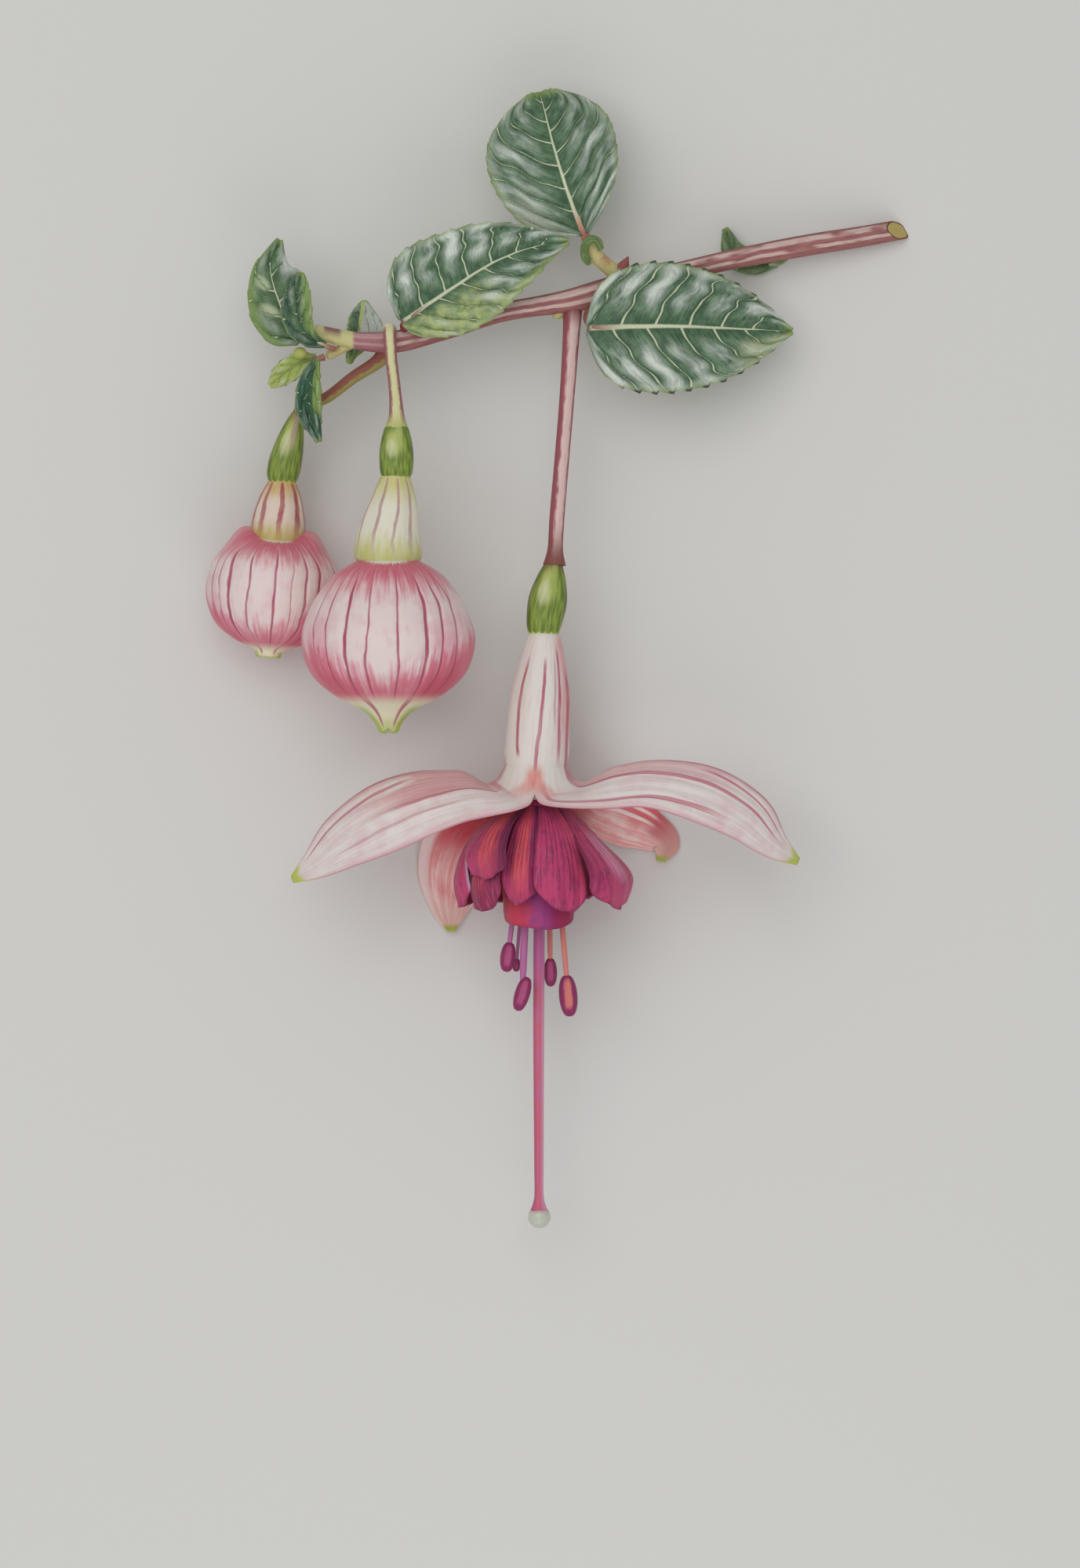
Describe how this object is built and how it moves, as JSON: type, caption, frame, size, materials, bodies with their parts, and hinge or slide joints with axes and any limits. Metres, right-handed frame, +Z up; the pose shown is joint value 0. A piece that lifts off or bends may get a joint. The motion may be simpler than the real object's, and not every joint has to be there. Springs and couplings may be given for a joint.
{
  "type": "fuchsia flower sprig",
  "caption": "Cut fuchsia sprig lying on a surface: an open double flower with pink sepals and a purple corolla, closed buds and toothed leaves on a woody stem.",
  "frame": {"origin": "centre of the whole sprig's footprint, on the surface that it lies on", "axes": "+Z up from the surface, +Y against the way that the flower hangs, towards the stem and the top leaf, +X towards the stem's cut end"},
  "size_m": [0.1079, 0.1748, 0.0354],
  "materials": {
    "wood": "matte",
    "stalk": "satin",
    "pale_stalk": "satin",
    "leaf": "satin",
    "young_leaf": "satin",
    "ovary": "satin",
    "calyx": "satin",
    "bud": "satin",
    "inner_sepal": "satin",
    "corolla": "satin",
    "stamen": "satin",
    "style": "satin",
    "stigma": "gloss"
  },
  "bodies": {
    "root": {"branch": "wood", "leaf_right": "leaf", "leaf_centre": "leaf", "leaf_top": "leaf", "leaf_left": "leaf", "leaf_left_inner": "leaf", "leaf_lower": "young_leaf", "leaf_hanging": "leaf", "leaf_behind_stem": "leaf", "leaf_back_right": "leaf", "leaf_curled": "young_leaf", "leaf_bud": "young_leaf", "flower_stalk": "stalk", "flower_ovary": "ovary", "flower_tube": "calyx", "sepal_front_left": "calyx", "sepal_front_right": "calyx", "sepal_back_left": "inner_sepal", "sepal_back_right": "inner_sepal", "corolla": "corolla", "stamens": "stamen", "style": "style", "stigma": "stigma", "large_bud_stalk": "pale_stalk", "large_bud_ovary": "ovary", "large_bud_tube": "calyx", "large_bud_calyx": "bud", "small_bud_stalk": "stalk", "small_bud_ovary": "ovary", "small_bud_tube": "calyx", "small_bud_calyx": "bud"}
  },
  "joints": []
}
